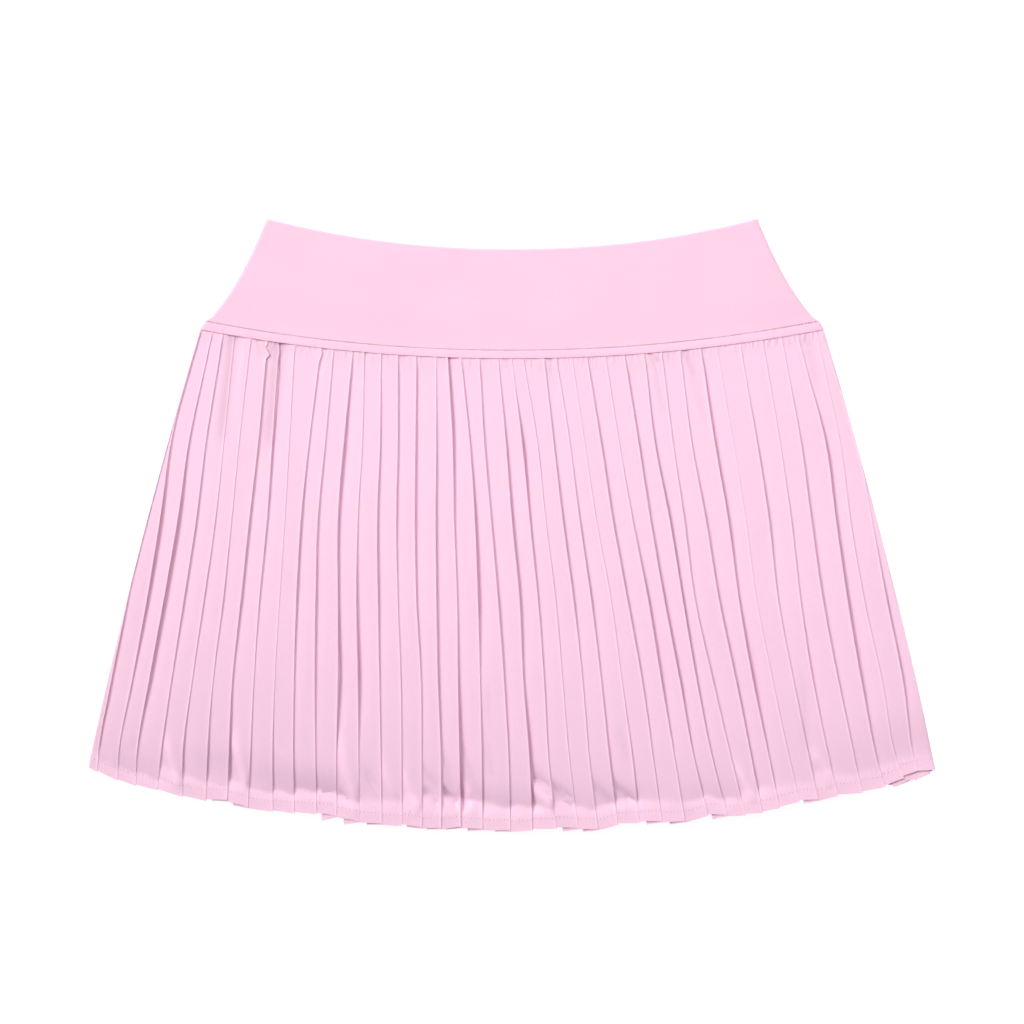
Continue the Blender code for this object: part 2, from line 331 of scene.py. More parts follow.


# size of the speckle, where the hem's painted light fades in, in mm from its border, depth of a needle hole in
# thread heights
clothDetail = {"speckleSize": 0.0022, "hemEdge": (-1.6, 1.2), "holeDepth": 3.0, "sheenRoughness": 0.45}


def clothMaterial(name, look):
    material, tree, shader, place = startMaterial(name)
    threads = useGroup(
        tree, weave, Vector=place, Pitch=look["pitch"], Stretch=look["stretch"], Unevenness=look["unevenness"])
    wide = useGroup(
        tree, mottle, Vector=place, Size=look["mottleSize"], Amount=look["mottle"], Seed=look["seed"])
    fine = useGroup(
        tree, mottle, Vector=place, Size=clothDetail["speckleSize"], Amount=look["speckle"],
        Seed=look["seed"] + 3.0)
    shade = sums(tree, "MULTIPLY", wide.outputs["Shade"], fine.outputs["Shade"])
    shade = sums(tree, "MULTIPLY", shade, threads.outputs["Shade"])
    height = threads.outputs["Height"]
    if "foldHighlight" in look:   # painted highlight along the fold edges
        shade = toned(tree, shade, pointMark(tree, "foldEdge"), look["foldHighlight"])
    if "creaseShade" in look:   # painted shade in the troughs, painted highlight on the ridges
        shade = toned(tree, shade, pointMark(tree, "crease"), -look["creaseShade"])
    if "hemPaintedLight" in look:   # the turned hem lies doubled and flat: lighter partly for the doubled cloth's own tone, partly painted light on the hem below the trough
        border = pointMark(tree, "fromBorder")
        zone = smoothFade(tree, border, *clothDetail["hemEdge"], 1.0 + look["hemPaintedLight"], 1.0)
        shade = sums(tree, "MULTIPLY", shade, zone)
    if "stitchRow" in look:
        along, across = pointMark(tree, "along"), pointMark(tree, "fromEdge")
        holes = useGroup(
            tree, needleHoles, Along=along, Across=across, Row=look["stitchRow"], Pitch=look["stitchPitch"],
            Radius=look["holeRadius"]).outputs["Mask"]
        # painted shade in the needle holes
        shade = toned(tree, shade, holes, -look["holePaintedShade"])
        height = sums(tree, "SUBTRACT", height, sums(tree, "MULTIPLY", holes, clothDetail["holeDepth"]))
    rough = sums(tree, "MULTIPLY_ADD", threads.outputs["Height"], 0.05, look["roughness"])
    bump = addNode(tree, "ShaderNodeBump")
    joinUp(tree, bump, Height=height, Distance=look["threadHeight"], Strength=look["bump"])
    for mark, row, reach, spacing, depth in look.get("puckers", ()):
        gathers = useGroup(
            tree, stitchPuckers, Along=along, Across=pointMark(tree, mark), Row=row,
            Reach=reach, Spacing=spacing)
        under = joinUp(tree, addNode(tree, "ShaderNodeBump"), Height=gathers.outputs["Height"], Distance=depth)
        if bump.inputs["Normal"].is_linked:
            tree.links.new(bump.inputs["Normal"].links[0].from_socket, under.inputs["Normal"])
        tree.links.new(under.outputs["Normal"], bump.inputs["Normal"])
    joinUp(
        tree, shader, Base_Color=tinted(tree, look["colour"], shade), Roughness=rough,
        Normal=bump.outputs["Normal"],
        Specular_IOR_Level=look["gloss"], Sheen_Weight=look["sheen"], Sheen_Tint=(*look["sheenTint"], 1),
        Sheen_Roughness=clothDetail["sheenRoughness"])
    return material


skirtCloth = {
    "colour": (0.885, 0.572, 0.725), "roughness": 0.72, "gloss": 0.3,
    "sheen": 0.08, "sheenTint": (1.0, 0.85, 0.93),
    "pitch": 0.00042, "stretch": 1.0, "unevenness": 0.8, "threadHeight": 0.00006, "bump": 0.4,
    "mottleSize": 0.03, "mottle": 0.012, "speckle": 0.012, "seed": 1.0,
    "foldHighlight": 0.09, "hemPaintedLight": 0.09, "creaseShade": 0.075,
    "stitchRow": 6.8, "stitchPitch": 2.4, "holeRadius": 0.4, "holePaintedShade": 0.32,
    # attribute measured from, row, reach and spacing in mm, depth
    "puckers": (("fromSeam", 0.0, 10.0, 2.3, 0.0009), ("fromEdge", 8.5, 5.0, 1.7, 0.0003)),
}
jersey = {
    "roughness": 0.85, "gloss": 0.25, "sheen": 0.12, "sheenTint": (1.0, 0.88, 0.95),
    "stretch": 0.7, "unevenness": 0.6,
}
bandJersey = {
    **jersey, "colour": (0.92, 0.535, 0.683), "pitch": 0.00055, "threadHeight": 0.00007, "bump": 0.35,
    "mottleSize": 0.05, "mottle": 0.017, "speckle": 0.014, "seed": 5.0,
    "stitchRow": 5.5, "stitchPitch": 1.53, "holeRadius": 0.44, "holePaintedShade": 0.97,
    "puckers": (("fromEdge", 0.0, 8.0, 4.0, 0.0006),),
}
shortsJersey = {
    **jersey, "colour": (0.88, 0.56, 0.73), "pitch": 0.0006, "threadHeight": 0.00008, "bump": 0.4,
    "mottleSize": 0.05, "mottle": 0.02, "speckle": 0.015, "seed": 9.0,
}
# the thread is painted lighter than the cloth it matches: painted highlight on the raised stitches
threadLook = {
    "colour": (0.96, 0.69, 0.81), "roughness": 0.6, "gloss": 0.4, "sheen": 0.1, "sheenTint": (1.0, 0.9, 0.95),
    "pitch": 0.0003, "stretch": 3.0, "unevenness": 0.5, "threadHeight": 0.00004, "bump": 0.6,
    "mottleSize": 0.02, "mottle": 0.02, "speckle": 0.02, "seed": 2.0,
}
skirtMaterial = clothMaterial("skirt_cloth", skirtCloth)
bandMaterial = clothMaterial("waistband_jersey", bandJersey)
shortsMaterial = clothMaterial("shorts_jersey", shortsJersey)
threadMaterial = clothMaterial("sewing_thread", threadLook)
print("materials made")


# Skirt

skirtLook = {
    "cloth": 0.14,              # thickness
    "closedStep": 0.3,          # from a fold down to the next face where the pleat is pressed shut
    "openStep": 4.9,            # and where it stands open
    "seamOpening": 0.11,        # how fast the step may grow away from the waist seam
    "hemClosing": (8.0, 10.0),  # pleats close again at this height above the hem edge, over this length
    "underlap": (7.0, 9.8),     # folded back beneath a face, at the seam and at the hem
    "softness": (0.3, 0.4),     # how slowly a face rises: share of its width, and mm for each mm risen
    "foldLift": 0.24,
    "faceTilt": 0.25,
    "swell": (0.35, 120, 20),   # height, size, and distance from the seam where it is full
    "sideRound": 0.6,
    "sideLift": 0.12,           # the side edge lies this far above the layers' middle
    "seamPinch": 0.4,           # pulled down into the waist seam
    "pinchLength": 11.0,
    "narrowestFace": 0.55,      # where pleats turn round the side
    "tuckSag": 1.1,             # how far a tuck that shows hangs below its face
    "hemFall": (2.6, 0.7),      # how far the cloth falls to its flat hem, in front and behind
    "fallReach": 26.0,          # over about this length, and less where a trough is deep
    "trough": (0.22, 8.0, 4.0), # depth for each grade, and its length above and below its lowest line
    "plainTrough": (13.0, 1),   # height and grade where none is given
    "fallShare": (0.3, 0.15),   # share of hemFall that every face takes, and more for each grade
    "dip": (195, 50, 45, 40),   # a corner is pressed down from this x on, over; below this height, over
    "stepByWidth": 0.34,        # a step stays this low beside a narrow face
    "seamStep": 1.9,            # step at the waist seam where a pleat stands open
    "hemShut": 0.88,            # how far pleats close at the hem
    "foldEnd": 0.9,             # how far before the fold a face lifts
    "borderWave": (0.8, 2.4, 2.6, 8),   # of the hem border on a face: height, tilt, arch, size of its swell
    "nearFold": ((0.3, 0.06), (0.9, 0.12), (2.0, 0.2)),   # columns beside a fold: at most, share of the face
    "firstColumns": (0, 0.05, 0.12, 0.25, 0.45),
    "lastColumns": (0, 0.12, 0.3, 0.5, 0.68, 0.8, 0.88, 0.94, 0.98, 1),
    "hemStitch": 6.8,
    "length": 306.8,
}
# Front folds from left to right: x at six heights and at the hem, how far the fold's hem point and the
# tuck that shows beneath it hang below the smooth hem line, and how far the pleat stands open at six
# heights, 0 to 9.
foldHeights = (99.0, 54.9, 3.0, -49.0, -101.0, -153.0)
openHeights = (99.0, 48.4, 3.0, -49.0, -101.0, -153.0)
frontFolds = (
    (-214, -229, -241, -249.5, -260, -269, -269.5, 0.1, None, "555563"),
    (-210.5, -221, -228.5, -237, -246.5, -256, -256.5, 1.7, None, "578742"),
    (-200, -209.5, -217, -226, -235.5, -244, -244.5, 1.9, None, "358873"),
    (-191.5, -198.5, -205, -213, -221, -228.5, -230.5, 1.1, None, "445534"),
    (-182.5, -187, -192.5, -200, -207.5, -214, -214, 1.3, None, "113425"),
    (-172, -177, -182, -187.5, -194, -198, -199, 0.5, None, "212425"),
    (-160.5, -164.5, -170.5, -176, -181.5, -184, -185, -3, -0.5, "556647"),
    (-152.5, -155.5, -159, -164, -167.5, -170, -171.5, -1.2, 0.1, "765424"),
    (-142, -144.5, -147.5, -151, -154, -155.5, -155.5, -0.7, None, "211114"),
    (-126, -131.5, -137, -140, -141.5, -142, -141.5, -1.7, None, "446644"),
    (-117, -121, -126, -127.5, -128, -127.5, -127, -3.2, None, "345653"),
    (-104.5, -109, -113, -113, -113, -114, -114, -3.7, 0.9, "587693"),
    (-96, -97, -100, -101, -100, -99.5, -99.5, -2, 1.6, "223682"),
    (-85, -85.5, -87.5, -87, -86, -85, -84.5, -1.7, 0.2, "356643"),
    (-74, -74, -75, -74, -72, -71.5, -71.5, -1.1, None, "555333"),
    (-62, -62.5, -63, -62, -59, -58.5, -58.5, -1.1, -0.2, "566543"),
    (-49, -49, -49.5, -49, -48, -46, -46, -1.1, 0.4, "256665"),
    (-41, -38.5, -37.5, -35.5, -35, -34, -33, -2.2, 0.1, "975469"),
    (-32, -27.5, -24, -22, -20.5, -19.5, -19, -1.1, 0.9, "457835"),
    (-20.5, -18, -13.5, -9, -5, -2, -1, -0.3, 0.7, "455654"),
    (-8, -4, 0, 5, 7.5, 11.5, 13.5, -0.2, None, "367758"),
    (1, 6.5, 11.5, 17, 21, 24, 29, -1, None, "186543"),
    (9, 16.5, 22, 28.5, 33, 37.5, 43, -1.2, 1.1, "232322"),
    (22, 27, 33, 40, 46, 50.5, 56, 0, 1.8, "456633"),
    (30.5, 37.5, 44, 51.5, 58, 63.5, 69, -1.8, None, "335645"),
    (40.5, 47, 55, 64.5, 71.5, 78.5, 83, -2.1, None, "112224"),
    (50.5, 57.5, 65.5, 75, 84.5, 92, 97.5, -2.2, -0.5, "466653"),
    (62.5, 69.5, 78.5, 88.5, 97, 106, 112.5, -0.6, 0.6, "224773"),
    (75, 82, 90, 99, 109, 118.5, 127.5, -2.2, None, "566774"),
    (87.5, 92.5, 102.5, 111, 120, 130.5, 140, -1, 0.8, "467764"),
    (99, 104.5, 112, 119, 130.5, 143, 152, 1.1, None, "335453"),
    (111, 116.5, 126, 134.5, 145.5, 156, 163, 1.3, None, "346665"),
    (125, 131.5, 140.5, 147.5, 156.5, 167.5, 174, 0.2, None, "677684"),
    (136, 143.5, 152, 159, 169.5, 180.5, 187, -1.7, None, "111122"),
    (151.5, 159, 167, 173, 183, 193.5, 199, -0.5, 0.5, "256434"),
    (166.5, 174, 181.5, 187.5, 195.5, 206.5, 212, 0.2, None, "224453"),
    (179.5, 187.5, 194.5, 202, 212, 223.5, 228, 2.2, None, "256653"),
    (192, 203.5, 210.5, 218, 227, 238, 243, 2.2, None, "379874"),
    (203.5, 213, 220, 229, 240.5, 250.5, 255, -0.1, None, "123322"),
    (209.5, 223.5, 234, 243.5, 254, 261.5, 264, -2.2, None, "002663"),
)
# fold, y, shift in x, size
foldKinks = (
    (7, 117.2, 0.5, 1), (7, 115.4, -1.2, 1.2), (7, 110.6, 2.3, 1.8), (8, 112, 0.7, 3), (10, 110.5, 1.2, 3),
)
# corners below the smooth hem line and pressed down on the other layer; how much higher each next face
# begins than the fold before it ends: where a tuck shows, elsewhere, and at the last two folds
hemCorners = {"left": -1.3, "right": 0.7, "rightDip": 2.3}
hemNotches = {"tuck": -1.0, "plain": 1.0, "last": (1.6, 0.0)}
# across a face: height of the trough above the hem edge, and its depth, 0 to 9
hemTroughs = {
    2: (7.8, 2), 3: (8.5, 3), 4: (7.2, 3), 5: (15, 1), 6: (12.4, 2), 7: (10.4, 2), 8: (14, 2), 9: (13, 3),
    10: (13, 4), 11: (15.2, 4), 12: (16.2, 4), 13: (14, 2), 14: (16, 1), 15: (17, 1), 16: (19.5, 1), 17: (21, 2),
    18: (20.5, 4), 19: (19, 5), 20: (16, 4), 21: (16, 3), 22: (14, 2), 23: (16, 3), 24: (13.5, 2), 25: (15, 3),
    26: (14, 4), 27: (15, 1), 28: (14, 0), 29: (12.5, 2), 30: (11, 3), 31: (11, 2), 32: (14, 1), 33: (14, 0),
    34: (12, 0), 35: (12, 0), 36: (19, 1), 37: (13, 0), 38: (12, 0), 39: (12, 0), 40: (11, 0), 41: (10, 0),
}
# creases: face (0 is any), start, end, width, depth; a negative depth is a ridge
frontCreases = (
    (13, -113, -175, -100, -183.6, 2.2, 1.2), (13, -112, -145, -102, -182, 4.5, -1.5),
    (17, -57.2, -173, -46, -184.3, 2, 1.3), (18, -46, -171.3, -35.8, -182.3, 2, 1.5),
    (18, -44, -150, -40, -168, 2, 0.96), (19, -29, -175, -27, -183, 2.5, -1.2),
    (16, -70, -165, -62, -182, 3.4, -1.3), (22, 13.6, -163.5, 25.4, -173.5, 2.6, 2.2),
    (22, 16, -174, 26, -184, 4, -1.5), (23, 26.6, -170, 42.3, -183, 2.4, 1.6),
    (25, 54, -169.7, 63, -179.6, 2.4, 1.3), (26, 66.3, -169.5, 78.6, -179.6, 2.4, 1.5),
    (31, 132.6, -174.5, 138.5, -179.1, 2.2, 0.96), (32, 148, -161, 155, -174, 3.2, -1.3),
    (36, 198, -150, 207, -162, 3, -1), (17, -56.8, -160, -47.8, -170.6, 1.8, 1.1),
    (18, -44.5, -173.5, -36, -181, 1.8, 1), (19, -32, -145, -26, -163, 2, 0.9),
    (19, -29.8, -162, -22.5, -173.5, 2, 1), (20, -15.5, -110, -14.5, -128, 1.6, 0.6),
    (20, -16.5, -143, -13.5, -160, 1.9, 0.9), (10, -153, -139, -147, -146, 1.6, 0.5),
    (10, -151, -146, -147, -150, 2, -0.5), (15, -83, -160, -78, -172, 3, -0.9),
    (14, -93, -163, -86, -175, 2.6, 0.9), (26, 72, -140, 76, -152, 3, 0.8),
    (26, 38.6, 109.5, 40.2, 102.4, 0.8, 0.6), (27, 48.4, 110, 50, 101, 0.8, 0.7),
    (25, 24.5, 106, 27.5, 90, 1.8, 0.6), (22, -4, 108.5, 0, 98, 1, 0.5),
    (0, -180.5, 118, -187, 60, 4.2, 1.3), (6, -175, 112, -178, 74, 2.6, -0.5),
    (6, -179.8, 122, -180.2, 115, 0.9, 0.4), (7, -169.7, 121, -169.2, 116, 0.9, 0.35),
    (0, -151.5, 112, -157, 56, 5, 1.6), (7, -164.5, 119, -163, 108, 1.8, 0.5),
    (11, -121.6, 115, -125, 104, 1.6, 0.6), (0, -94.9, 111.5, -95.2, 107.5, 0.9, 0.5),
    (0, -83.2, 111.5, -83.6, 107.5, 0.9, 0.5), (0, -71.5, 110, -71.2, 106, 1.2, 0.6),
    (31, 88.5, 112.5, 94, 104, 1.2, 0.8), (31, 95, 104, 98.5, 78, 2.6, 0.8),
    (33, 112.5, 112.5, 118, 99, 1.8, 1), (33, 119, 98, 125, 72, 3, 0.7),
    (34, 131.8, 116, 133.6, 111.5, 0.9, 0.8), (35, 146.6, 118.5, 148, 111.5, 0.9, 0.9),
    (39, 193, 116, 199, 92, 2.6, 0.8), (3, -240, -146, -231, -160, 4, 1.1),
    (5, -223.5, -144, -217, -166, 3.2, -1.4), (8, -180, -142, -174, -168, 3.4, -1.6),
    (0, 190, -106, 192, -143, 3, 0.66), (0, -190, -155, -116, -172, 9, 0.6),
)


def skirtRows():
    near = [-2, -0.3, 1, 2.4, 4, 6, 8.5, 11.5, 15, 19]
    above = [60, 52, 45, 39, 34, 30, 26.5, 23.5, 21, 19, 17.5, 16, 14.5,
             13, 11.5, 10, 8.6, 7.4, 6.8, 6.2, 5, 3.2, 1.4, 0.5, 0]
    down = np.concatenate([near, np.linspace(25, 238, 23), skirtLook["length"] - np.array(above)])
    return down / skirtLook["length"]


def followFold(heights, xs, hemX, v):   # x of one fold on every row
    stations = [edgeY(hemEdge, hemX / halfWidth["hem"]), *reversed(heights)]
    values = [hemX, *reversed(xs)]
    x = np.full_like(v, xs[2])
    for _ in range(6):
        x = curveThrough(stations, values, skirtY(x, v))
    return x


# one pleated layer, as seen from its own outer side: its middle surface, and what each column is
def pleatedCloth(v, foldX, openness, hemDrop, tuckDrop, shows, notch,
                 troughs, creases, corners, hemFall, middle, seed):
    look = skirtLook
    cloth = look["cloth"]
    draw = np.random.default_rng(seed)
    count = foldX.shape[1]
    half = (skirtHalf(v) - cloth / 2)[:, None]
    room = look["narrowestFace"]
    foldX = np.clip(foldX, -half + room * np.arange(1, count + 1), half - room * np.arange(count, 0, -1))
    bounds = np.concatenate([-half, foldX, half], 1)
    width = np.diff(bounds, axis=1)
    down = v * look["length"]
    upper = np.concatenate([foldX, half], 1)
    rowY = skirtY(upper, v[:, None])
    aboveHem = rowY - rowY[-1]
    given = [troughs.get(k + 1, look["plainTrough"]) for k in range(count + 1)]
    border, grade = (np.array([trough[i] for trough in given]) for i in (0, 1))
    reach = look["fallReach"] / (1 + 0.45 * grade)
    rise, size, full = look["swell"]
    swelling = rise * (0.5 + 0.5 * swell(upper, rowY, size, seed)) * smooth(down / full)[:, None]
    level = layers["skirtTop"] - cloth / 2 - swelling
    pinchLength = look["pinchLength"] * draw.uniform(0.6, 1.5, count + 1)
    level = level - look["seamPinch"] * (1 - smooth(down[:, None] / pinchLength))

    def fall(rise, reach, grade):
        every, more = look["fallShare"]
        depth, upward, downward = look["trough"]
        length = np.where(rise > 0, upward, downward)
        fallen = hemFall * (every + more * grade) * np.exp(-np.maximum(rise, 0) / reach)
        return fallen + depth * grade * np.exp(-np.abs(rise / length) ** 1.5)

    dipFrom, dipOver, dipBelow, dipRise = look["dip"]
    dip = corners.get("leftDip", 0) * smooth((-upper - dipFrom) / dipOver)
    dip = dip + corners.get("rightDip", 0) * smooth((upper - dipFrom) / dipOver)
    level = level - fall(aboveHem - border, reach, grade) - dip * smooth((dipBelow - aboveHem) / dipRise)
    open9 = np.clip(openness, 0, 9) / 9
    step = look["closedStep"] + (look["openStep"] - look["closedStep"]) * open9 ** 1.8
    narrower = np.minimum(width[:, :-1], width[:, 1:])
    step = np.minimum(step, np.where(np.arange(count) < 2, 1.0, 0.4) + look["stepByWidth"] * narrower)
    atSeam = look["closedStep"] + look["seamStep"] * open9[0] ** 4
    step = np.minimum(step, atSeam + look["seamOpening"] * np.maximum(down, 0)[:, None])
    closed, over = look["hemClosing"]
    shut = 1 - look["hemShut"] * smooth((closed + over - aboveHem[:, :-1]) / over)
    step = np.minimum(step, look["closedStep"] + (step - look["closedStep"]) * shut)
    tilt = look["faceTilt"] * draw.uniform(0.2, 1.6, count + 1)
    footDrop = np.concatenate([[corners["left"]], hemDrop - notch])
    endDrop = np.append(hemDrop, corners["right"])
    under = look["underlap"][0] + (look["underlap"][1] - look["underlap"][0]) * np.clip(v, 0, 1)
    columns = {"x": [], "z": [], "drop": [], "face": [], "share": [], "fold": [], "top": []}

    def add(x, z, drop, k, fold=0.0, top=False):
        columns["x"].append(x)
        columns["z"].append(z)
        columns["drop"].append(np.broadcast_to(drop, x.shape))
        columns["face"].append(k + 1)
        columns["share"].append((x - bounds[:, k]) / width[:, k])
        columns["fold"].append(np.full_like(x, fold))
        columns["top"].append(top)

    foot = level[:, 0]
    for k in range(count + 1):
        left, right, z = bounds[:, k], bounds[:, k + 1], level[:, k]
        last = k == count
        radius = np.full_like(z, 0.12) if last else np.clip((step[:, k] - cloth) / 2 - 0.01, 0.075, 0.35)
        run = width[:, k] - (0 if last else radius)
        risen = z - look["foldLift"] - foot if k else 0 * z
        soft = look["softness"][0] * width[:, k] + look["softness"][1] * risen

        def faceZ(off):
            rise = (1 - np.exp(-off / soft)) / (1 - np.exp(-run / soft))
            flat = z - look["foldLift"] - tilt[k] * (1 - off / run) * (k > 0)
            lift = look["foldLift"] * smooth((off - run + look["foldEnd"]) / look["foldEnd"])
            return foot + (flat - foot) * rise + lift

        if k == 0 or last:
            offs = [run * share for share in look["firstColumns" if k == 0 else "lastColumns"]]
        else:
            near = [np.minimum(most, share * run) for most, share in look["nearFold"]]
            offs = [0 * run, *near, 0.33 * run, 0.48 * run]
        if not last:
            offs += [0.63 * run, 0.78 * run]
            offs += [run - np.minimum(1.0, 0.16 * run), run - np.minimum(0.45, 0.08 * run)]
        for off in offs:
            drop = footDrop[k] + (endDrop[k] - footDrop[k]) * off / run
            add(left + off, faceZ(off) + 0 * run, drop, k, top=True)
        if last:
            break
        columns["fold"][-1] += 0.85   # the painted fold highlight begins before the turn
        for angle, fold in ((90, 1.0), (45, 0.7), (-15, 0.0), (-90, 0.0)):
            a = math.radians(angle)
            add(right - radius + radius * math.cos(a), z - radius + radius * math.sin(a), endDrop[k], k, fold)
        turn = np.maximum(right - under, left + 0.25 * width[:, k])
        nextFoot = z - step[:, k]
        turnZ = np.minimum(nextFoot + cloth + 0.03, faceZ(turn - left) - cloth - 0.04)
        lowZ = np.minimum(nextFoot, turnZ - cloth - 0.03)
        sag = look["tuckSag"] * shows[k] * smooth((7 - aboveHem[:, k]) / 5)
        turnZ, lowZ = turnZ - sag, lowZ - sag
        half1 = (right - radius + turn) / 2
        halfZ = np.minimum((z - 2 * radius + turnZ) / 2, faceZ(half1 - left) - cloth - 0.04)
        add(half1, halfZ, (endDrop[k] + tuckDrop[k]) / 2, k)
        add(turn, turnZ, tuckDrop[k], k)
        add(turn, lowZ, tuckDrop[k] - 0.3, k)
        foot = nextFoot

    x, z, drop, share = (np.stack(columns[key], 1) for key in ("x", "z", "drop", "share"))
    face = np.array(columns["face"])
    y = skirtY(x, v[:, None]) - smooth((v - 0.8) / 0.2)[:, None] * drop
    above = y - y[-1]
    window = smooth(share / 0.18) * smooth((1 - share) / 0.12)
    height, lean, arch, size = look["borderWave"]
    wave = height + lean * (share - 0.5)
    wave = wave - arch * draw.uniform(0.1, 1, count + 1)[face - 1] * np.sin(np.pi * share)
    wave += height * swell(x, 0 * y, size, seed + 5)
    rise, reach, grade = above - border[face - 1], reach[face - 1], grade[face - 1]
    z += (fall(rise, reach, grade) - fall(rise + wave, reach, grade)) * window
    sunk = np.zeros_like(z)
    for k, *crease in creases:
        mine = (face == k) if k else np.ones_like(face, bool)
        sunk[:, mine] += creaseDepth(x[:, mine], y[:, mine], crease) * (window[:, mine] if k else 1.0)
    z -= sunk
    for k in range(count):   # what is folded beneath a face stays below it
        mine = np.flatnonzero(face == k + 1)
        shown, under = mine[:-3], mine[-3:]
        for row in range(len(v)):
            limit = np.interp(x[row, under], x[row, shown[:-3]], z[row, shown[:-3]]) - cloth - (0.2, 0.08, 0.25)
            z[row, under] = np.minimum(z[row, under], limit)
    side = np.clip((half - np.abs(x)) / look["sideRound"], 0, 1)
    z = middle[:, None] + (z - middle[:, None]) * np.sqrt(1 - (1 - side) ** 2)
    fromStitches = np.abs((1 - v) * look["length"] - look["hemStitch"])
    return {
        "points": np.stack([x, y, z], 2), "fold": np.stack(columns["fold"], 1),
        "crease": np.clip(sunk, -1.5, 2.0),
        "fromBorder": (rise + wave) / np.where(grade < 2, 2.5, 1.0), "face": face,
        "top": np.array(columns["top"]), "stitchRow": int(np.argmin(fromStitches)),
    }


def thicken(points, thickness):   # outer and inner surface either side of a section's line
    run = np.diff(points[:, :, (0, 2)], axis=1)
    run /= np.maximum(np.linalg.norm(run, axis=2, keepdims=True), 1e-6)
    tangent = np.concatenate([run[:, :1], run[:, :-1] + run[:, 1:], run[:, -1:]], 1)
    tangent /= np.maximum(np.linalg.norm(tangent, axis=2, keepdims=True), 1e-6)
    normal = np.stack([-tangent[:, :, 1], np.zeros(tangent.shape[:2]), tangent[:, :, 0]], 2)
    return points + normal * thickness / 2, points - normal * thickness / 2


def developed(points):   # width of the cloth laid out, at the seam and at the hem
    run = np.linalg.norm(np.diff(points[:, :, (0, 2)], axis=1), axis=2).sum(1)
    return run[1], run[-1]


def makeSkirt(name, made, turned, node):
    points = made["points"].copy()
    outer, inner = thicken(points, skirtLook["cloth"])
    if turned:
        for surface in (outer, inner):
            surface[:, :, 0] *= -1
            surface[:, :, 2] = layers["skirtTop"] - surface[:, :, 2]
    marks = {
        "foldEdge": made["fold"],
        "crease": made["crease"],
        "along": points[:, :, 0],
        "fromEdge": points[:, :, 1] - points[-1, :, 1],
        "fromSeam": rows[:, None] * skirtLook["length"] + 0 * made["fold"],
        "fromBorder": made["fromBorder"],
    }
    skirt = makeShell(name, outer, inner, marks)
    finishPiece(skirt, skirtMaterial, node)
    return skirt, outer


rows = skirtRows()
foldX = np.stack([followFold(foldHeights, row[:6], row[6], rows) for row in frontFolds], 1)
foldY = skirtY(foldX, rows[:, None])
for fold, y, shift, size in foldKinks:
    foldX[:, fold - 1] += shift * np.exp(-((foldY[:, fold - 1] - y) / size) ** 2)
openness = np.stack([
    np.interp(foldY[:, k], openHeights[::-1], [int(digit) for digit in reversed(row[9])])
    for k, row in enumerate(frontFolds)
], 1)
hemDrop = np.array([row[7] for row in frontFolds])
hasTuck = np.array([row[8] is not None for row in frontFolds])
notch = np.where(hasTuck, hemNotches["tuck"], hemNotches["plain"])
notch[-2:] = hemNotches["last"]
before = np.concatenate([[hemCorners["left"]], (hemDrop - notch)[:-1]])
hidden = before + 0.25 * (hemDrop - before) - 1.0
tuckDrop = np.array([hidden[k] if row[8] is None else row[8] for k, row in enumerate(frontFolds)])
frontCloth = pleatedCloth(
    rows, foldX, openness, hemDrop, tuckDrop, hasTuck, notch, hemTroughs, frontCreases, hemCorners,
    skirtLook["hemFall"][0], skirtMiddle(rows) + skirtLook["sideLift"], 4)
skirtFront, frontOuter = makeSkirt("skirtFront", frontCloth, False, "skirt_front")
print("skirt front made, cloth laid out", developed(frontCloth["points"]))

# the back has as many pleats, evenly spaced and a little uneven
backFolds = {
    "count": 40, "wander": 1.1, "openness": (2.6, 2.4),
    "hemRaised": -3.2, "hemUneven": 0.6, "longCorner": (3.6, 4.0),
    "tuckEvery": 5, "tuckHang": (1.6, -1.5), "notch": (-0.8, 0.8),   # where a tuck shows, and elsewhere
}
backCorners = {"left": 0.3, "right": -2.6, "leftDip": 4.2}
# face, x, y of each crease's start
backCreaseStarts = (
    (5, -215, -150), (9, -166, -160), (10, -152, -170), (15, -86, -178), (20, -20, -176),
    (23, 20, -172), (24, 34, -180), (31, 126, -165), (35, 178, -158),
)
draw = np.random.default_rng(11)
number = np.arange(1, backFolds["count"] + 1)
evenX = skirtHalf(rows)[:, None] * (-1 + 2 * number / (backFolds["count"] + 1))
backX = evenX + backFolds["wander"] * swell(evenX * 3.0, 320 * rows[:, None] + 40 * number, 130, 21)
usual, uneven = backFolds["openness"]
openBack = usual + uneven * 2 * swell(evenX * 4.0, 300 * rows[:, None], 110, 22)
backDrop = backFolds["hemRaised"] + backFolds["hemUneven"] * draw.uniform(-1, 1, backFolds["count"])
backDrop[:2] = backFolds["longCorner"]
backShows = number % backFolds["tuckEvery"] == 3
backTuck = backDrop + np.where(backShows, *backFolds["tuckHang"])
backNotch = np.where(backShows, *backFolds["notch"])
backTroughs = {k: (draw.uniform(9, 17), draw.integers(1, 6)) for k in range(2, 41)}
backCreases = [
    (k, x, y, x + draw.uniform(6, 10), y - draw.uniform(6, 11), 2.2, draw.uniform(0.2, 0.45))
    for k, x, y in backCreaseStarts
]
backCloth = pleatedCloth(
    rows, backX, openBack, backDrop, backTuck, backShows, backNotch, backTroughs, backCreases, backCorners,
    skirtLook["hemFall"][1], layers["skirtTop"] - skirtMiddle(rows) + skirtLook["sideLift"], 14)
skirtBack, backOuter = makeSkirt("skirtBack", backCloth, True, "skirt_back")
print("skirt back made, cloth laid out", developed(backCloth["points"]))

# Waistband

bandLook = {
    "height": 71.8,
    "wall": 2.1, "lip": 0.45,        # thickness, and at its lower edge over the skirt
    "topRound": 1.0, "lipRound": 0.17,
    "columns": 236, "sideRoll": 1.6,
    "stitchFromSeam": 5.5, "grooveDepth": 0.02, "grooveWidth": 0.7,
    "stripPuff": 0.25,               # the turned-in edge below the topstitching
    "swell": 0.3,
}
